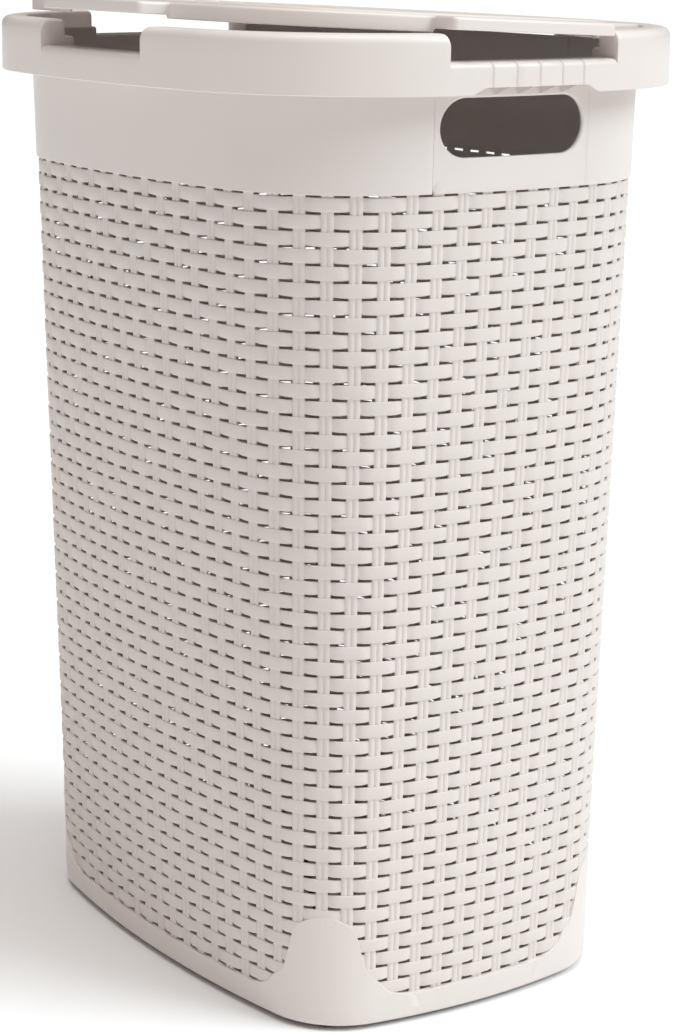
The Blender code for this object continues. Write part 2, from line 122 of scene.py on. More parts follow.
SAMPLES = np.linspace(-0.16, 0.16, 2001)


def turn_at(side, distance, out):
    """Turn at which a point set out from the rim's plan is a straight distance from its side's middle.

    Sides count anticlockwise: 0 right, 1 back, 2 left, 3 front.
    """
    place = on_wall(SAMPLES + side / 4, TUB_TOP, out + 0 * SAMPLES)
    quarter_turn = side * math.pi / 2
    along = place[:, 1] * math.cos(quarter_turn) - place[:, 0] * math.sin(quarter_turn)
    return side / 4 + np.interp(distance, along, SAMPLES)


def side_turn(side, distance, out):
    """As turn_at, for many points at once: linear in out between the wall and the rim's outer face."""
    near, far = turn_at(side, distance, 0.0), turn_at(side, distance, RIM_OVERHANG)
    return near + (far - near) * out / RIM_OVERHANG


print("wall at the front:", on_wall(0.75, 0.3, 0.0).round(4))

# %% [markdown]
# ## Putting a grid into a mesh
#
# A grid of points becomes quads in one step. Each solid here is either a closed section carried round a
# closed path, or a closed section carried along an open one with its two ends filled. Whether the faces
# point outwards is measured, by the sign of the enclosed volume, so no formula has to care about it.

# %% Helpers for meshes
def grid_quads(rows, columns, rows_close=False, columns_close=True):
    """Quads of a grid of rows x columns points, whose ends may join up."""
    row = np.arange(rows if rows_close else rows - 1)[:, None]
    column = np.arange(columns if columns_close else columns - 1)[None, :]
    after_row, after_column = (row + 1) % rows, (column + 1) % columns
    corners = [row * columns + column, row * columns + after_column,
               after_row * columns + after_column, after_row * columns + column]
    shape = np.broadcast_shapes(row.shape, column.shape)
    return np.stack([np.broadcast_to(corner, shape) for corner in corners], -1).reshape(-1, 4)


def add_piece(name, points, quads, material, body="hamper", caps=(), sharp=38):
    """Makes an object from points, quads and end polygons, faces outwards, and lets it ride on a body."""
    points = np.asarray(points, float).reshape(-1, 3)
    cap_fans = [np.stack([np.full(len(cap) - 2, cap[0]), cap[1:-1], cap[2:]], -1) for cap in caps]
    triangles = np.concatenate([quads[:, [0, 1, 2]], quads[:, [0, 2, 3]]] + cap_fans)
    middle = points.mean(0)
    a, b, c = (points[triangles[:, i]] - middle for i in range(3))
    flip = np.einsum("ij,ij->i", a, np.cross(b, c)).sum() < 0
    loops = [quads[:, ::-1].ravel() if flip else quads.ravel()]
    loops += [np.asarray(cap[::-1] if flip else cap) for cap in caps]
    counts = np.concatenate([np.full(len(quads), 4), [len(cap) for cap in caps]]).astype(np.int32)
    mesh = bpy.data.meshes.new(name)
    mesh.vertices.add(len(points))
    mesh.vertices.foreach_set("co", points.ravel().astype(np.float32))
    mesh.loops.add(int(counts.sum()))
    mesh.loops.foreach_set("vertex_index", np.concatenate(loops).astype(np.int32))
    mesh.polygons.add(len(counts))
    mesh.polygons.foreach_set("loop_start", np.concatenate([[0], np.cumsum(counts)[:-1]]).astype(np.int32))
    mesh.update(calc_edges=True)
    mesh.validate()
    mesh.shade_smooth()
    mesh.set_sharp_from_angle(angle=math.radians(sharp))
    mesh.materials.append(material)
    piece = bpy.data.objects.new(name, mesh)
    bpy.context.scene.collection.objects.link(piece)
    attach(piece, body)
    print(f"{name}: {len(points)} points, {len(triangles)} triangles")
    return piece


def copies(shape, count):
    """Quads of several solids of the same make, one after another in one list of points."""
    points_each = shape.max() + 1
    return (shape[None] + (np.arange(count) * points_each)[:, None, None]).reshape(-1, 4)


def ring_caps(rows, columns, count):
    """End polygons of several open sweeps: the first and last row of each."""
    first = np.arange(columns)
    starts = [solid * rows * columns for solid in range(count)]
    last_row = (rows - 1) * columns
    return [first + start for start in starts] + [first[::-1] + start + last_row for start in starts]


def smooth(value, low, high):
    """0 below low, 1 above high, with a soft S between them."""
    share = np.clip((np.asarray(value, float) - low) / (high - low), 0, 1)
    return share * share * (3 - 2 * share)


# %% [markdown]
# ## The finishes
#
# The tub and lid are moulded polypropylene. The mould is spark eroded, so the plastic has a fine satin
# grain, and the wicker strands have faint lengthwise streaks cut into the mould. Polypropylene's
# refractive index is 1.49. The smooth mouldings are a little glossier than the strands. The streaks
# follow the strand: on the bands they run level, on the stakes they run upright.

# %% Finish helpers
def linear(hex_color):
    """sRGB hex colour as linear RGBA."""
    channels = [int(hex_color[i:i + 2], 16) / 255 for i in (1, 3, 5)]
    return (*[c / 12.92 if c <= 0.04045 else ((c + 0.055) / 1.055) ** 2.4 for c in channels], 1.0)


def add_node(tree, kind, settings=None, inputs=None):
    """Adds a node, sets its properties, and gives each input a value or a link from another socket."""
    node = tree.nodes.new(kind)
    for key, value in (settings or {}).items():
        setattr(node, key, value)
    for key, value in (inputs or {}).items():
        if isinstance(value, bpy.types.NodeSocket):
            tree.links.new(value, node.inputs[key])
        else:
            node.inputs[key].default_value = value
    return node


CLOUDS_PER_METRE = 22.0
GRAIN_DEPTH = 0.02 * MM
SHEEN_DRIFT = 0.05              # how far the roughness wanders either way


def moulded_plastic(name, light, dark, roughness, streak_scale, grain_mm=0.45, streak_depth=0.05, ior=1.49):
    """Satin moulding: cloudy colour between two near tones, mould grain, and streaks along one direction.

    streak_scale is the number of streaks per metre along x, y and z.
    """
    material = bpy.data.materials.new(name)
    material.use_nodes = True
    tree = material.node_tree
    shader = tree.nodes["Principled BSDF"]
    place = add_node(tree, "ShaderNodeTexCoord").outputs["Object"]
    cloud = add_node(tree, "ShaderNodeTexNoise",
                     inputs={"Vector": place, "Scale": CLOUDS_PER_METRE, "Detail": 3.0})
    tone = add_node(tree, "ShaderNodeMix", {"data_type": "RGBA"}, {0: cloud.outputs["Fac"]})
    tone.inputs["A"].default_value = linear(dark)
    tone.inputs["B"].default_value = linear(light)
    stretched = add_node(tree, "ShaderNodeMapping", inputs={"Vector": place, "Scale": streak_scale})
    streaks = add_node(tree, "ShaderNodeTexNoise",
                       inputs={"Vector": stretched.outputs["Vector"], "Scale": 1.0, "Detail": 2.0})
    grain = add_node(tree, "ShaderNodeTexNoise",
                     inputs={"Vector": place, "Scale": 1000 / grain_mm, "Detail": 1.0})
    coarse = add_node(tree, "ShaderNodeBump", inputs={
        "Height": streaks.outputs["Fac"], "Strength": 0.6, "Distance": streak_depth * MM})
    fine = add_node(tree, "ShaderNodeBump", inputs={
        "Height": grain.outputs["Fac"], "Strength": 0.5, "Distance": GRAIN_DEPTH,
        "Normal": coarse.outputs["Normal"]})
    satin = add_node(tree, "ShaderNodeMapRange", inputs={
        "Value": cloud.outputs["Fac"], "To Min": roughness - SHEEN_DRIFT, "To Max": roughness + SHEEN_DRIFT})
    tree.links.new(tone.outputs["Result"], shader.inputs["Base Color"])
    tree.links.new(satin.outputs["Result"], shader.inputs["Roughness"])
    tree.links.new(fine.outputs["Normal"], shader.inputs["Normal"])
    shader.inputs["IOR"].default_value = ior
    print("finish", name)
    return material


LEVEL, UPRIGHT, EVEN = (60, 60, 1400), (1400, 1400, 60), (160, 160, 160)
# Painted shade: the strands' tones are a few steps darker than those of the smooth mouldings and the lid,
# standing in for the shade the weave throws on itself on the lit side.
band_plastic = moulded_plastic("moulded_polypropylene_bands", "#E9DFDA", "#E2D8D2", 0.46, LEVEL)
stake_plastic = moulded_plastic("moulded_polypropylene_stakes", "#E9DFDA", "#E2D8D2", 0.46, UPRIGHT)
smooth_plastic = moulded_plastic("moulded_polypropylene_smooth", "#ECE3DE", "#E8DED9", 0.34, EVEN,
                                 streak_depth=0.03)
lid_plastic = moulded_plastic("moulded_polypropylene_lid", "#ECE3DE", "#E8DFDA", 0.34, EVEN,
                              streak_depth=0.03)
pin_plastic = moulded_plastic("turned_acetal", "#E3DBD0", "#DDD4C8", 0.35, EVEN, grain_mm=0.8, ior=1.48)
# The feet are coloured dark brown, as dark as they look in the shade under the base; how dark the real feet
# are is not known.
dark_feet_finish = moulded_plastic("moulded_rubber", "#4A382C", "#3B2C22", 0.75, EVEN, grain_mm=0.8, ior=1.52)

# %% [markdown]
# ## The wicker wall: bands
#
# Fifty-one level bands go round the tub, each in front of every other stake and behind those between, and
# each row is shifted by one stake. A displaced texture would blur the slits, so every band is a real
# strip: a rounded section carried right round, whose depth follows a flattened cosine. The slit beside
# each crossing is then the true gap between two strips, open right through the wall. The undersides
# have draft, as a mould needs, which keeps most slits dark.

# %% Bands
STAKES = 70
BANDS = 51                      # the lowest is half hidden by the base band
ROW = 10 * MM
TOP_ROW_Z = TUB_TOP - 93.1 * MM    # line of the half slits under the collar
BAND_HALF_HEIGHT = 4.0 * MM
BAND_HALF_THICKNESS = 0.85 * MM
SWING = 0.85 * MM               # how far a band moves in and out
FLAT = 0.42                     # share of a pitch that a band stays flat over its stake, and of its turn
WEAVE_MIDDLE = -(SWING + BAND_HALF_THICKNESS)

# one period of a band, in stake pitches from where it is in front
PERIOD = np.array([-1.0, -0.82, -0.72, -0.62, -0.50, -0.30, 0.0, 0.30, 0.50, 0.62, 0.72, 0.82])
# section of a band: height from its middle, and depth; the outer edges are rounded, the underside has draft
BAND_SECTION = np.array([(1.00, -1.0), (1.00, 0.30), (0.95, 0.78), (0.80, 1.0),
                         (-0.80, 1.0), (-0.95, 0.78), (-1.00, 0.30), (-1.15, -1.0)])


def band_points(band):
    """Rings of one band: depth = swing x cos of how far it is past the flat part over its stake."""
    first = 0 if band % 2 else 1
    place = (first + 2 * np.arange(STAKES // 2)[:, None] + PERIOD[None, :]).ravel()
    away = np.abs(np.tile(PERIOD, STAKES // 2))
    depth = SWING * np.cos(math.pi * np.clip((away - FLAT) / FLAT, 0, 1))
    section = BAND_SECTION * (BAND_HALF_HEIGHT, BAND_HALF_THICKNESS)
    z = TOP_ROW_Z - ROW * (band + 0.5) + section[None, :, 0]
    out = WEAVE_MIDDLE + depth[:, None] + section[None, :, 1]
    return on_wall(place[:, None] / STAKES, z, out)


rings = STAKES // 2 * len(PERIOD)
one_band = grid_quads(rings, len(BAND_SECTION), rows_close=True)
# three pieces, so that none holds too many triangles
for part, (low, high) in enumerate(((0, 17), (17, 34), (34, BANDS))):
    points = np.concatenate([band_points(band).reshape(-1, 3) for band in range(low, high)])
    add_piece(f"wicker_bands_{part + 1}", points, copies(one_band, high - low), band_plastic)

# %% [markdown]
# ## The wicker wall: stakes
#
# The stakes stand upright and show as a pair of half-round ribs with a groove between them. They keep
# their width while the tub narrows, so the slits get shorter towards the base. Each one is a fixed
# section carried up the wall.

# %% Stakes
STAKE_HALF_WIDTH = 3.8 * MM
STAKE_TOP_Z = TOP_ROW_Z + 4 * MM
STAKE_LOW_Z = 10 * MM
STAKE_ROWS = 24
RIB = np.array([(0.0, 0.25), (0.16, 0.72), (0.48, 1.0), (0.80, 0.72), (1.0, 0.1), (1.0, -1.0)])
stake_section = np.concatenate([RIB, (RIB[:0:-1]) * (-1, 1)]) * (STAKE_HALF_WIDTH, 0.9 * MM)


def stake_points(stake):
    """Rows of one stake: its section laid across the wall at even heights."""
    z = np.linspace(STAKE_LOW_Z, STAKE_TOP_Z, STAKE_ROWS)[:, None]
    aside, out = stake_section.T
    return on_wall(stake / STAKES, z, WEAVE_MIDDLE + out[None, :], aside=aside[None, :])


one_stake = grid_quads(STAKE_ROWS, len(stake_section))
points = np.concatenate([stake_points(stake).reshape(-1, 3) for stake in range(STAKES)])
add_piece("wicker_stakes", points, copies(one_stake, STAKES), stake_plastic,
          caps=ring_caps(STAKE_ROWS, len(stake_section), STAKES), sharp=50)

# %% [markdown]
# ## The base and its corner patches
#
# A plain band closes the weave at the foot, and over each foot a smooth patch climbs the corner in the
# shape of a bottle: a low bump on a shoulder, sides that lean out, then a flare into the base band. The
# band is a profile carried round, with the floor inside it. Each patch is a shallow shell over the
# strands whose half width is looked up by height.

# %% Base band and floor
BASE_Z = tub_low[2]
BASE_RINGS = 280
base_profile = [(-60, 3.0), (-40, 3.0), (-12, 3.0), (-11, 2.0), (-6, 2.0), (-5.2, 0.1), (-3.2, 0.0),
                (-1.2, 0.6), (0.0, 2.0), (0.45, 4.0), (0.55, 15.2), (0.7, 16.2), (0.6, 16.8), (0.1, 17.0),
                (-2.6, 17.0), (-3.2, 16.4), (-3.4, 8.0), (-4.6, 6.4), (-6.5, 5.4), (-40, 4.6), (-60, 4.4)]
base_out, base_up = (np.array(base_profile).T * MM)
turns = np.arange(BASE_RINGS) / BASE_RINGS
ring = on_wall(turns[:, None], BASE_Z + base_up[None, :], base_out[None, :])
count = len(base_profile)
under = np.arange(BASE_RINGS) * count
add_piece("base_band", ring, grid_quads(BASE_RINGS, count, rows_close=True, columns_close=False),
          smooth_plastic, caps=[under, under[::-1] + count - 1])

# %% Corner patches
# height in mm and half width in stake pitches: flare, shoulder, leaning side, and rounded top
patch_outline = np.array([(6, 4.2), (19.0, 3.9), (20.7, 3.5), (22.5, 2.85), (26.2, 2.55), (31.4, 2.27),
                          (36.5, 1.88), (38.5, 1.74), (56.3, 1.42), (60.6, 1.36), (66.0, 1.27), (68.5, 1.18),
                          (70.5, 1.0), (72.5, 0.8), (74.5, 0.52), (75.7, 0.25), (76.1, 0.03)])
# places across a patch, as shares of its half width: back, rolled edge, face, and a fine line in the middle
PATCH_ACROSS = np.concatenate([[-1.0, -1.0, -0.985], np.linspace(-0.9, -0.1, 9), [-0.012, 0.0, 0.012],
                               np.linspace(0.1, 0.9, 9), [0.985, 1.0, 1.0]])
PATCH_LOW, PATCH_TOP = 6, 76.1      # mm
PATCH_ROWS = (30, 14)               # up the side, and closer together over the top
PATCH_LIFT = 0.3 * MM               # face of a patch in front of the strands


def patch_half_width(z):
    """Half width of a patch in stake pitches: straight runs between the heights of its outline."""
    return np.interp(z, patch_outline[:, 0] * MM, patch_outline[:, 1])


def patch_points(stake):
    """Shallow shell over one corner, row by row: a face that swells over the base, and a rolled edge."""
    side_rows, top_rows = PATCH_ROWS
    z = np.concatenate([np.linspace(PATCH_LOW, 64, side_rows), np.linspace(65, PATCH_TOP, top_rows)])
    z = z[:, None] * MM
    line = np.where(np.abs(PATCH_ACROSS) < 0.02, 0.06 * MM, 0.0)
    over_base = 0.5 * MM * (1 - smooth(z, 20 * MM, 32 * MM)) - 0.35 * MM * (1 - smooth(z, 9 * MM, 15 * MM))
    rolled_top = 0.35 * MM * smooth(z, 75.2 * MM, 76.1 * MM)
    lift = PATCH_LIFT - line[None, :] + over_base - rolled_top
    lift[:, [1, -2]] -= 0.55 * MM
    lift = np.where(z < 8 * MM, -0.6 * MM, lift)
    lift[:, [0, -1]] = -2.4 * MM
    return on_wall((stake + PATCH_ACROSS[None, :] * patch_half_width(z)) / STAKES, z, lift)


CORNER_STAKES = (6.9, 28.1, 41.9, 63.1)
patch_rows, patch_columns = sum(PATCH_ROWS), len(PATCH_ACROSS)
one_patch = grid_quads(patch_rows, patch_columns)
points = np.concatenate([patch_points(stake).reshape(-1, 3) for stake in CORNER_STAKES])
add_piece("corner_patches", points, copies(one_patch, len(CORNER_STAKES)), smooth_plastic,
          caps=ring_caps(patch_rows, patch_columns, len(CORNER_STAKES)), sharp=50)

# %% [markdown]
# ## The collar and its handle holes
#
# Above the weave the wall is a smooth collar, with an oblong hole for the hand in each short side. A
# Boolean would leave long thin faces round the hole that shade badly on a curved wall. So the panel is
# drawn as loops that grow from the oblong out to the panel's edge, and the rounded lip is the same loop
# rolled from the front face to the back. Thin parting lines, where the mould's sliders met, part the
# panels.

# %% Collar panels
COLLAR_LOW_Z = TOP_ROW_Z + 0.4 * MM
COLLAR_TOP_Z = TUB_TOP - 22 * MM
COLLAR_OUT = 0.9 * MM
COLLAR_IN = -2.1 * MM
HANDLE_Z = TUB_TOP - 54.8 * MM
HANDLE_RADIUS = 17.25 * MM
HANDLE_STRAIGHT = 53 * MM - HANDLE_RADIUS
PANEL_HALF = 57.5 * MM
LIP_RADIUS = 0.5 * (COLLAR_OUT - COLLAR_IN)
FAR = 9.0                       # metres: farther than anything on the hamper


def perimeter(z):
    """Length of the wall's outline at a height, measured on a fine polygon."""
    loop = on_wall(np.linspace(0, 1, 4001), z, 0.0)
    return np.linalg.norm(np.diff(loop, axis=0), axis=1).sum()


PERIMETER = perimeter(HANDLE_Z)


def oblong(radius_share):
    """Loop about the handle hole: its own oblong at 0, the panel's outline at 1, as distance and height.

    Each point goes straight out from the oblong until it meets the panel's rectangle.
    """
    bend = np.linspace(-math.pi / 2, math.pi / 2, 41)
    low, high = COLLAR_LOW_Z - HANDLE_Z, COLLAR_TOP_Z - HANDLE_Z
    width = PANEL_HALF - HANDLE_STRAIGHT
    bend = np.sort(np.concatenate([bend, [math.atan2(high, width), math.atan2(low, width)]]))
    straight = np.linspace(0, 1, 13)[1:-1] * 2 - 1
    centre = np.concatenate([HANDLE_STRAIGHT + 0 * bend, -HANDLE_STRAIGHT * straight,
                             -HANDLE_STRAIGHT + 0 * bend, HANDLE_STRAIGHT * straight])
    angle = np.concatenate([bend, math.pi / 2 + 0 * straight, bend + math.pi, 1.5 * math.pi + 0 * straight])
    across, up = np.cos(angle), np.sin(angle)
    to_side = np.where(np.abs(across) > 1e-9, width / np.maximum(np.abs(across), 1e-9), FAR)
    to_edge = np.where(up > 0, high / np.maximum(up, 1e-9), low / np.minimum(up, -1e-9))
    reach = np.minimum(to_side, to_edge)
    out = HANDLE_RADIUS + LIP_RADIUS * 0.9
    distance = out + (reach - out) * radius_share
    return centre, across, up, distance


def handle_panel(side):
    """Loops from the panel's front edge in to the lip, round it, and out again on the back face."""
    rolled = np.linspace(math.pi / 2, -math.pi / 2, 9)
    loops = []
    edge = [(1.0, -0.1 * MM, COLLAR_OUT - 0.15 * MM), (1.0, -0.3 * MM, COLLAR_OUT)]
    for share, shrink, out in edge + [(share, 0.0, COLLAR_OUT) for share in (0.6, 0.3, 0.1, 0.0)]:
        centre, across, up, distance = oblong(share)
        loops.append((centre, across, up, distance + shrink, out))
    centre, across, up, distance = oblong(0.0)
    for angle in rolled:
        inset = 0.9 * LIP_RADIUS * math.cos(angle)
        out = (COLLAR_OUT + COLLAR_IN) / 2 + LIP_RADIUS * math.sin(angle)
        loops.append((centre, across, up, distance - inset, out))
    for share in (0.0, 0.3, 1.0):
        centre, across, up, distance = oblong(share)
        loops.append((centre, across, up, distance, COLLAR_IN))
    rows = []
    for centre, across, up, distance, out in loops:
        along = centre + across * distance
        z = HANDLE_Z + up * distance
        rows.append(on_wall(side / 4 + along / PERIMETER, z, out + 0 * z))
    return np.stack(rows)


for side, name in ((0, "right"), (2, "left")):
    panel = handle_panel(side)
    add_piece(f"collar_handle_{name}", panel, grid_quads(*panel.shape[:2], rows_close=True), smooth_plastic)

COLLAR_HEIGHT = COLLAR_TOP_Z - COLLAR_LOW_Z
COLLAR_RINGS = 120
collar_profile = [(COLLAR_OUT - 0.3 * MM, 0.0), (COLLAR_OUT, 0.3 * MM), (COLLAR_OUT, 30 * MM),
                  (COLLAR_OUT, 60 * MM), (COLLAR_OUT, COLLAR_HEIGHT), (COLLAR_IN, COLLAR_HEIGHT),
                  (COLLAR_IN, 0.0)]
collar_out, collar_up = np.array(collar_profile).T
rings = COLLAR_RINGS + 2
for centre, name in ((0.25, "back"), (0.75, "front")):
    reach = 0.25 - PANEL_HALF / PERIMETER
    even = np.linspace(-reach + 0.0003, reach - 0.0003, COLLAR_RINGS)
    round_it = centre + np.concatenate([[-reach], even, [reach]])
    tuck = np.zeros(rings)
    tuck[[0, -1]] = 0.15 * MM
    out = collar_out[None, :] - tuck[:, None] * (collar_out > 0)[None, :]
    panel = on_wall(round_it[:, None], COLLAR_LOW_Z + collar_up[None, :], out)
    add_piece(f"collar_{name}", panel, grid_quads(rings, len(collar_profile)), smooth_plastic,
              caps=ring_caps(rings, len(collar_profile), 1))

# %% [markdown]
# ## The rim
#
# The rim is an upturned channel that hangs 20 mm outside the wall. At the four corners it stands up in
# rounded blocks; in the middle of every side it drops to a bar that the fingers go over. Both are one
# section carried round the plan, with the same points in the same order, so it can melt from the corner
# section into the bar section where the two meet. On the short sides the skirt is cut higher in the
# middle, with five shallow grooves in the bar and five ribs behind it.

# %% Rim sections: (out, height) in mm, out from the wall and up from the rim's top
BAR_Z = TUB_TOP - 16.1 * MM
LEDGE_Z = TUB_TOP - 10.6 * MM


def rounding(radius, out, top, steps=6):
    """Quarter circle from the outer face to the top."""
    angle = np.linspace(0, math.pi / 2, steps)
    return [(out - radius * (1 - math.cos(a)), top - radius * (1 - math.sin(a))) for a in angle]


corner_section = np.array([(17.2, -35.0), (19.5, -35.0), (20.0, -34.5), (20.0, -14.0)]
                          + rounding(6.0, 20.0, 0.0)
                          + [(5.0, 0.0), (3.5, -0.4), (3.0, -1.4), (3.0, -10.2), (2.7, -10.6), (-2.3, -10.6),
                             (-3.0, -11.3), (-3.0, -26.0), (0.0, -26.0), (0.0, -13.4), (4.8, -13.4),
                             (4.8, -2.8), (17.2, -2.8)]) * MM
bar_section = np.array([(17.2, -35.0), (19.5, -35.0), (20.0, -34.5), (20.0, -24.0)]
                       + rounding(4.0, 20.0, -16.1)
                       + [(9.0, -16.1), (6.0, -16.1), (3.0, -16.1), (1.0, -16.1), (0.0, -16.1),
                          (-1.6, -16.3), (-3.0, -17.6), (-3.0, -28.0), (0.0, -28.0), (0.0, -18.9),
                          (4.8, -18.9), (8.0, -18.9), (17.2, -18.9)]) * MM
# the back bar carries a low sill that rises to the lid's rear skirt
sill_section = bar_section.copy()
sill_section[9:16] = np.array([(2.0, -16.1), (0.1, -16.1), (-0.4, -15.6), (-0.4, -11.3), (-0.8, -10.9),
                               (-2.6, -10.9), (-3.0, -11.3)]) * MM
SECTION = len(corner_section)
ON_WALL = np.arange(SECTION) >= 15      # these points follow the tapering wall, the others stand upright

# %% Rim rings
SLOT_HALF = 61.8 * MM
CORNER_RINGS = 32               # rings between the end of one side and the start of the next
GROOVES = (np.arange(5) - 2) * 16.8 * MM
groove_rings = (GROOVES[:, None] + np.array([-1.0, -0.55, 0.0, 0.55, 1.0])[None, :] * MM).ravel()
step_rings = np.concatenate([-np.linspace(36, 48, 9), np.linspace(36, 48, 9)]) * MM
even_rings = np.linspace(-56, 56, 15) * MM
edge_out = np.array([0.0, 0.0, 0.5, 1.2, 2.2, 4.0]) * MM       # past the slot's end
edge_drop = np.array([1.0, 0.125, 0.05, 0.015, 0.0, 0.0])      # how much of the bar section is left
end_rings = np.concatenate([-(SLOT_HALF + edge_out), SLOT_HALF + edge_out])
end_bar = np.concatenate([edge_drop, edge_drop])


def side_rings(side):
    """Distances along a side and the share of bar section there."""
    inner = np.concatenate([even_rings, step_rings, groove_rings]) if side % 2 == 0 else even_rings
    distance = np.concatenate([inner, end_rings])
    bar = np.concatenate([np.ones(len(inner)), end_bar])
    order = np.lexsort((np.where(distance > 0, -bar, bar), distance))
    return distance[order], bar[order]


ring_turn, ring_bar, ring_side, ring_distance = [], [], [], []
for side in range(4):
    distance, bar = side_rings(side)
    end = turn_at(side, distance[-1], 0.0)
    next_distance, _ = side_rings((side + 1) % 4)
    next_start = turn_at((side + 1) % 4, next_distance[0], 0.0) + (1 if side == 3 else 0)
    corner_turns = np.linspace(end, next_start, CORNER_RINGS + 2)[1:-1]
    ring_turn += list(turn_at(side, distance, 0.0)) + list(corner_turns)
    ring_bar += list(bar) + [0.0] * len(corner_turns)
    ring_side += [side] * len(distance) + [-1] * len(corner_turns)
    ring_distance += list(distance) + [FAR] * len(corner_turns)
ring_turn, ring_bar = np.array(ring_turn), np.array(ring_bar)
ring_side, ring_distance = np.array(ring_side), np.array(ring_distance)

low_section = np.where((ring_side == 1)[:, None, None], sill_section[None], bar_section[None])
section = corner_section[None] + (low_section - corner_section[None]) * ring_bar[:, None, None]
out, height = section[..., 0].copy(), section[..., 1] + TUB_TOP
on_grip = (ring_side % 2 == 0) & (ring_side >= 0)
raise_by = np.where(on_grip, 4.4 * MM * (1 - smooth(np.abs(ring_distance), 36 * MM, 48 * MM)), 0.0)
height[:, :3] += raise_by[:, None]
nearest = np.abs(ring_distance[:, None] - GROOVES[None, :]).min(1)
groove = np.where(on_grip, 0.8 * MM * (1 - smooth(nearest, 0.2 * MM, 0.95 * MM)), 0.0)
out[:, 2:8] -= groove[:, None]
height[:, 7:12] -= 0.6 * groove[:, None]

# rings beside a slot lie in one plane across the side, and fan out again round the corner
rim_turn = np.repeat(ring_turn[:, None], SECTION, 1)
for side in range(4):
    here = ring_side == side
    rim_turn[here] = side_turn(side, ring_distance[here][:, None], out[here])
rim = on_wall(rim_turn, height, out, plan_z=np.where(ON_WALL[None, :], height, TUB_TOP))
body_piece = add_piece("rim", rim, grid_quads(len(ring_turn), SECTION, rows_close=True), smooth_plastic,
                       sharp=40)
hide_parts("hamper_body")

# %% Ribs behind the two grips
RIB_HALF_THICKNESS = 0.5 * MM
rib_outline = np.array([(-1.0, -36.4), (0.6, -36.0), (17.6, -30.2), (17.6, -18.0), (-1.0, -18.0)]) * MM
rib_solids = []
for side in (0, 2):
    for distance in GROOVES:
        turn = side_turn(side, distance, rib_outline[:, 0])
        for edge in (-RIB_HALF_THICKNESS, RIB_HALF_THICKNESS):
            rib_solids.append(on_wall(turn, TUB_TOP + rib_outline[:, 1], rib_outline[:, 0], plan_z=TUB_TOP,
                                      aside=edge))
one_rib = grid_quads(2, len(rib_outline))
rib_count = 2 * len(GROOVES)
add_piece("grip_ribs", np.concatenate(rib_solids), copies(one_rib, rib_count), smooth_plastic,
          caps=ring_caps(2, len(rib_outline), rib_count), sharp=30)

# %% [markdown]
# ## The lid
#
# The lid is a plate with a skirt. Its outline steps out to the rim's outer face in three tabs, on the
# front and on both short sides, and stays inside the raised corners elsewhere. The outline is worked
# out as distances along each side and out from the wall, with small arcs at every step, and the rounded
# edge is a profile carried along it. On top, a wicker panel in low relief sits inside a bead: one height
# field, the higher of band and stake at each point. The whole lid is turned about the hinge to its
# stored, slightly open angle.

# %% Lid outline
LID_TOP_Z = TUB_TOP - 0.6 * MM
TAB_HALF = 60.3 * MM
TAB_CORNER = 3.5 * MM
TAB_ROOT = 3.0 * MM
joint = frame["record"]["behaviour"]["joints"][0]
HINGE = np.array(joint["pos_m"])
AJAR = math.radians(-joint["range_deg"][0])


def tab_outline():
    """Half of a tab, from its middle round the outer corner and down to the root: distance and out."""
    turn = np.linspace(math.pi / 2, 0, 7)
    front = np.linspace(0, TAB_HALF - TAB_CORNER, 12)[:-1]
    distance = np.concatenate([front, TAB_HALF - TAB_CORNER + TAB_CORNER * np.cos(turn), [TAB_HALF],
                               TAB_HALF + TAB_ROOT - TAB_ROOT * np.cos(turn[::-1])])
    out = np.concatenate([front * 0 + RIM_OVERHANG, RIM_OVERHANG - TAB_CORNER + TAB_CORNER * np.sin(turn),
                          [RIM_OVERHANG / 2], TAB_ROOT - TAB_ROOT * np.sin(turn[::-1])])
    return distance, out


def lid_outline():
    """Closed outline of the lid in plan, anticlockwise, and how far each point stands out from the wall."""
    half_distance, half_out = tab_outline()
    distance = np.concatenate([-half_distance[::-1], half_distance[1:]])
    out = np.concatenate([half_out[::-1], half_out[1:]])
    turn, stand = [], []
    for side in range(4):
        if side == 1:
            continue
        turn.append(side_turn(side, distance, out))
        stand.append(out)
        after = {0: 2, 2: 3, 3: 4}[side]
        first = turn_at(side, distance[-1], 0.0)
        last = turn_at(after % 4, distance[0], 0.0) + (1 if after == 4 else 0)
        between = np.linspace(first, last, 130 if side == 0 else 50)[1:-1]
        turn.append(between)
        stand.append(0 * between)
    turn, stand = np.concatenate(turn), np.concatenate(stand)
    return on_wall(turn, TUB_TOP, stand)[:, :2], stand


def plan_normals(path):
    """Outward normals of a closed anticlockwise path."""
    tangent = np.roll(path, -1, 0) - np.roll(path, 1, 0)
    tangent /= np.linalg.norm(tangent, axis=1, keepdims=True)
    return np.stack([tangent[:, 1], -tangent[:, 0]], -1)


def open_lid(points):
    """Turns points about the hinge axis from the closed lid to the stored angle: the front goes up."""
    y, z = points[..., 1] - HINGE[1], points[..., 2] - HINGE[2]
    lifted = points.copy()
    lifted[..., 1] = HINGE[1] + y * math.cos(AJAR) + z * math.sin(AJAR)
    lifted[..., 2] = HINGE[2] - y * math.sin(AJAR) + z * math.cos(AJAR)
    return lifted


path, stand = lid_outline()
normals = plan_normals(path)
TAB_SKIRT, CORNER_SKIRT = 7.5 * MM, 9.7 * MM
skirt = np.where(stand > 1 * MM, TAB_SKIRT, CORNER_SKIRT)
rounded = rounding(2.2, 0.0, 0.0, 7)
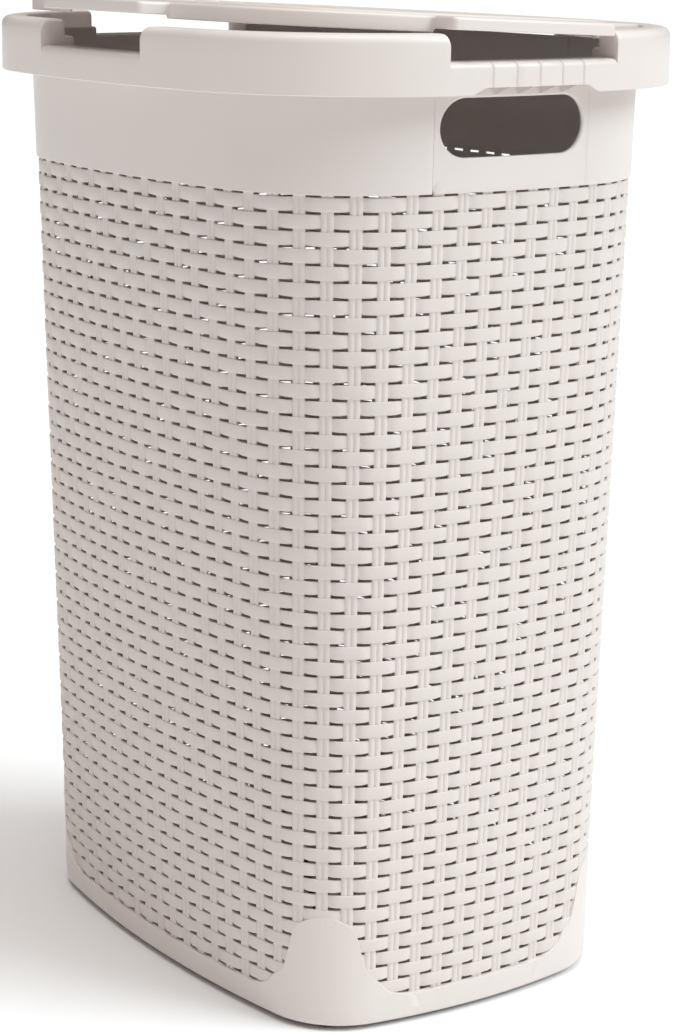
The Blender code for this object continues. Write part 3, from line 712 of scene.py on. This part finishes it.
# out, up, and 1 where the height is measured from the skirt's low edge
lid_profile = [(-2.6, -2.6, 0), (-2.5, -3.2, 0), (-2.5, 0.4, 1), (-2.2, 0.0, 1), (-0.5, 0.0, 1),
               (0.0, 0.5, 1)]
lid_profile += [(out, up, 0) for out, up in rounded] + [(-3.0, 0.0, 0)]
rows = []
for out, up, from_skirt in lid_profile:
    z = LID_TOP_Z + up * MM - from_skirt * skirt
    rows.append(np.concatenate([path + normals * out * MM, z[:, None]], 1))
shell = np.stack(rows)
shell_count = len(path)
lid_piece = add_piece("lid_shell", open_lid(shell), grid_quads(len(rows), shell_count), lid_plastic, "lid",
                      caps=ring_caps(len(rows), shell_count, 1))
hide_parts("lid")

# %% Wicker panel of the lid
PANEL_INSET = -24 * MM
LID_STAKE, LID_ROW = 16.5 * MM, 10 * MM
across_stake = np.array([-0.5, -0.35, -0.24, 0, 0.24, 0.35])
across_row = np.array([-0.5, -0.43, -0.34, -0.12, 0.12, 0.34, 0.43])
reach_x, reach_y = np.abs(on_wall(np.array([0.0, 0.25]), TUB_TOP, PANEL_INSET + np.zeros(2))).max(0)[:2]
stakes_half, rows_half = int(reach_x / LID_STAKE) + 1, int(reach_y / LID_ROW) + 1
unit_x = (np.arange(-stakes_half, stakes_half + 1)[:, None] + across_stake[None]).ravel()
unit_y = (np.arange(-rows_half, rows_half + 1)[:, None] + across_row[None]).ravel()


def inside_share(x, y, out):
    """How far inside the panel's outline a point is, in metres: negative outside it."""
    ring = on_wall(np.linspace(0, 1, 721), TUB_TOP, out + np.zeros(721))[:, :2]
    bearing = np.arctan2(ring[:, 1], ring[:, 0]) % (2 * math.pi)
    order = np.argsort(bearing)
    radius = np.interp(np.arctan2(y, x) % (2 * math.pi), bearing[order], np.linalg.norm(ring[order], axis=1))
    return radius - np.hypot(x, y)


def wicker_relief(u, v):
    """Height of flat wicker in stake and row units: the higher of a band and a pair of ribs."""
    stake, row = np.round(u), np.round(v)
    off_stake, off_row = np.abs(u - stake), np.abs(v - row)
    in_front = np.where((stake + row) % 2 == 1, off_stake, 1 - off_stake)
    swing = np.cos(math.pi * np.clip((in_front - FLAT) / FLAT, 0, 1))
    band = (0.75 + 0.45 * swing) * (1 - smooth(off_row, 0.33, 0.46))
    rib = 0.8 * (1 - smooth(off_stake, 0.16, 0.25)) * (0.6 + 0.4 * smooth(off_stake, 0.0, 0.10))
    return np.maximum(band, rib)


U, V = np.meshgrid(unit_x, unit_y, indexing="ij")
inside = inside_share(U * LID_STAKE, V * LID_ROW, PANEL_INSET)
relief = np.where(inside > 0, wicker_relief(U, V) * MM, -1.2 * MM)
span = np.maximum(np.hypot(U * LID_STAKE, V * LID_ROW), MM)
keep = np.minimum(1.0, (span + inside + MM) / span)       # points outside are drawn in under the bead
field = np.stack([U * LID_STAKE * keep, V * LID_ROW * keep, LID_TOP_Z + relief - 0.35 * MM], -1)
keel = field[:, [-1, 0]].copy()
keel[..., 2] = LID_TOP_Z - 2.0 * MM
field = np.concatenate([field, keel], 1)
add_piece("lid_wicker_panel", open_lid(field), grid_quads(*field.shape[:2]), band_plastic, "lid",
          caps=ring_caps(field.shape[0], field.shape[1], 1), sharp=60)

BEAD_RINGS = 300
bead_angle = np.linspace(0, math.pi, 9)
bead_out = np.concatenate([3.6 * np.cos(bead_angle), [-3.6, 3.6]]) * MM + PANEL_INSET
bead_up = np.concatenate([1.2 * np.sin(bead_angle), [-1.0, -1.0]]) * MM
bead_turn = np.arange(BEAD_RINGS) / BEAD_RINGS
bead = on_wall(bead_turn[:, None], LID_TOP_Z + bead_up[None, :], bead_out[None, :], plan_z=TUB_TOP)
add_piece("lid_bead", open_lid(bead), grid_quads(BEAD_RINGS, len(bead_out), rows_close=True), lid_plastic,
          "lid")

# %% [markdown]
# ## Hinge, pins and feet
#
# Two arms of the lid end in knuckles between pairs of ears on the rim, and a headed pin goes through each.
# Arms and ears are flat outlines made thick, with their edges eased. Pins and feet are turned: a profile
# carried round an axis.

# %% Flat pieces with eased edges, and turned pieces
def thick(outline, low_x, high_x, ease):
    """Rings of a flat YZ outline made thick along x; its two ends draw in by ease towards its middle."""
    middle = outline.mean(0)
    rings = []
    for x, shrink in ((low_x, ease), (low_x + ease, 0.0), (high_x - ease, 0.0), (high_x, ease)):
        away = outline - middle
        share = 1 - shrink / np.linalg.norm(away, axis=1, keepdims=True)
        flat = middle + away * share
        rings.append(np.concatenate([np.full((len(flat), 1), x), flat], 1))
    return np.stack(rings)


def turned(profile, centre, axis, segments=40):
    """Rings of a profile of (radius, place along the axis) turned about an axis through centre."""
    angle = np.arange(segments) / segments * 2 * math.pi
    radius, along = (np.array(profile) * MM).T
    wheel = [radius[:, None] * np.cos(angle), radius[:, None] * np.sin(angle), along[:, None] + 0 * angle]
    order = {"x": (2, 0, 1), "z": (0, 1, 2)}[axis]
    return np.stack([wheel[i] for i in order], -1) + np.array(centre)


hinge_y, hinge_z = HINGE[1], HINGE[2]
HINGE_HALF_SPACING = 44 * MM
KNUCKLE_RADIUS = 6 * MM
ARM_HALF_WIDTH = 6 * MM
EAR_RADIUS = 6.4 * MM
EAR_HALF_THICKNESS = 2 * MM
EAR_OFFSET = 8.4 * MM           # from the middle of an arm to the middle of an ear
EASE = 0.4 * MM
hinge_x = [-HINGE_HALF_SPACING, HINGE_HALF_SPACING]
knuckle_turn = np.linspace(math.pi / 2, -math.pi * 0.8, 26)
knuckle = np.stack([hinge_y + KNUCKLE_RADIUS * np.cos(knuckle_turn),
                    hinge_z + KNUCKLE_RADIUS * np.sin(knuckle_turn)], 1)
arm_foot = np.array([[hinge_y - 13.0 * MM, LEDGE_Z + 0.8 * MM],
                     [hinge_y - 15.5 * MM, LEDGE_Z + 0.8 * MM],
                     [hinge_y - 15.5 * MM, LID_TOP_Z - 0.5 * MM],
                     [hinge_y - 6.0 * MM, LID_TOP_Z - 0.7 * MM]])
arm_outline = np.concatenate([knuckle, arm_foot])
ear_turn = np.linspace(0, math.pi, 24)
ear_round = np.stack([hinge_y + EAR_RADIUS * np.cos(ear_turn), hinge_z + EAR_RADIUS * np.sin(ear_turn)], 1)
ear_outline = np.concatenate([ear_round, [[hinge_y - EAR_RADIUS, BAR_Z - 1 * MM],
                                          [hinge_y + EAR_RADIUS, BAR_Z - 1 * MM]]])


def thick_copies(outline, places, half_thickness):
    """Points of one eased flat piece at each place along x."""
    solids = [thick(outline, x - half_thickness, x + half_thickness, EASE).reshape(-1, 3) for x in places]
    return np.concatenate(solids)


arms = thick_copies(arm_outline, hinge_x, ARM_HALF_WIDTH)
add_piece("lid_arms", open_lid(arms), copies(grid_quads(4, len(arm_outline)), len(hinge_x)), lid_plastic,
          "lid", caps=ring_caps(4, len(arm_outline), len(hinge_x)))
ear_places = [x + side * EAR_OFFSET for x in hinge_x for side in (-1, 1)]
ears = thick_copies(ear_outline, ear_places, EAR_HALF_THICKNESS)
add_piece("hinge_ears", ears, copies(grid_quads(4, len(ear_outline)), len(ear_places)), smooth_plastic,
          caps=ring_caps(4, len(ear_outline), len(ear_places)))

# radius and place along the axis, in mm, here and for the foot below
pin_profile = [(2.1, -10.4), (2.5, -10.0), (2.5, 10.6), (3.9, 10.7), (4.0, 11.0), (3.9, 11.7), (3.2, 12.2),
               (1.2, 12.3)]
for name, x, way in (("left", hinge_x[0], -1), ("right", hinge_x[1], 1)):
    pin = turned([(radius, way * along) for radius, along in pin_profile], (x, hinge_y, hinge_z), "x")
    piece = add_piece(f"pin_{name}", pin, grid_quads(*pin.shape[:2]), pin_plastic,
                      caps=ring_caps(pin.shape[0], pin.shape[1], 1))
    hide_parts(f"hinge_pin_{name}")

foot_profile = [(2.0, 0.25), (7.4, 0.25), (8.0, 0.0), (8.6, 0.1), (9.0, 0.5), (9.0, 2.4), (8.8, 2.7),
                (3.0, 2.7), (3.0, 6.0), (1.0, 6.0)]
for corner in ("front_left", "front_right", "back_left", "back_right"):
    low, high = (np.array(end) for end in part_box(f"foot_{corner}"))
    middle = (low + high) / 2
    foot = turned(foot_profile, (middle[0], middle[1], low[2]), "z")
    piece = add_piece(f"dark_foot_{corner}", foot, grid_quads(*foot.shape[:2]), dark_feet_finish,
                      caps=ring_caps(foot.shape[0], foot.shape[1], 1))
    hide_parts(f"foot_{corner}")

# %% [markdown]
# ## Stage, light and camera
#
# A wide pale floor, an even sky, and two wide, even lights. The key shines from the right and a little
# from behind, so the short side is bright and the long side lies in soft shade, and the other shines
# straight down on rim and lid. The camera stands a little above the rim, off the front right corner,
# and has a long lens.

# %% Stage
FLOOR_RADIUS = 30.0             # metres
FLOOR_CORNERS = 96
SKY_TINT = (1.0, 0.96, 0.935, 1.0)
SKY_STRENGTH = 0.2
floor_material = bpy.data.materials.new("pale_floor")
floor_material.use_nodes = True
floor_shader = floor_material.node_tree.nodes["Principled BSDF"]
floor_shader.inputs["Base Color"].default_value = linear("#FFFFFF")
floor_shader.inputs["Roughness"].default_value = 0.9
floor_mesh = bpy.data.meshes.new("floor")
spoke = np.linspace(0, 2 * math.pi, FLOOR_CORNERS, endpoint=False)
floor_edge = [(FLOOR_RADIUS * math.cos(a), FLOOR_RADIUS * math.sin(a), 0.0) for a in spoke]
floor_mesh.from_pydata(floor_edge, [], [tuple(range(FLOOR_CORNERS))])
floor_mesh.materials.append(floor_material)
floor = bpy.data.objects.new("floor", floor_mesh)
bpy.context.scene.collection.objects.link(floor)

world = bpy.data.worlds.new("studio")
world.use_nodes = True
bpy.context.scene.world = world
sky = world.node_tree.nodes["Background"]
sky.inputs["Color"].default_value = SKY_TINT
sky.inputs["Strength"].default_value = SKY_STRENGTH


def placed(axes, place):
    """Matrix that turns an object's x, y and z to the three axes and puts it at a place."""
    rows = [[axis[i] for axis in axes] + [place[i]] for i in range(3)]
    return Matrix(rows + [[0, 0, 0, 1]])


def soft_light(name, place, strength, spread, color):
    """Wide, even light that shines from the direction of a place; spread is its width in radians."""
    light = bpy.data.lights.new(name, "SUN")
    light.energy = strength
    light.angle = spread
    light.color = color
    holder = bpy.data.objects.new(name, light)
    away = np.array(place, float) / np.linalg.norm(place)
    side = np.cross((0.0, 1.0, 0.0), away)
    side /= np.linalg.norm(side)
    up = np.cross(away, side)
    holder.matrix_world = placed((side, up, away), place)
    bpy.context.scene.collection.objects.link(holder)


soft_light("key", place=(2.3, 1.85, 2.6), strength=1.95, spread=0.6, color=(0.86, 0.96, 1.0))
soft_light("top", place=(0.3, -0.2, 3.6), strength=1.8, spread=0.8, color=(1.0, 0.96, 0.93))
bpy.context.scene.view_settings.view_transform = "Standard"

# %% Camera
CAMERA = np.array([1.3777, -0.9410, 0.6729])
YAW, PITCH, ROLL = 0.9820, 0.2160, 0.0090     # radians: to the left of +Y, down, and clockwise
forward = np.array([-math.sin(YAW) * math.cos(PITCH), math.cos(YAW) * math.cos(PITCH), -math.sin(PITCH)])
level = np.array([math.cos(YAW), math.sin(YAW), 0.0])
upward = np.cross(level, forward)
right = level * math.cos(ROLL) + upward * math.sin(ROLL)
upward = upward * math.cos(ROLL) - level * math.sin(ROLL)
lens = bpy.data.cameras.new("camera")
lens.sensor_width = 36.0        # mm, like the focal length below
lens.lens = 88.48
lens.shift_x = 0.0434
lens.shift_y = -0.0316
lens.clip_end = 100.0
camera = bpy.data.objects.new("camera", lens)
camera.matrix_world = placed((right, upward, -forward), CAMERA)
bpy.context.scene.collection.objects.link(camera)
bpy.context.scene.camera = camera
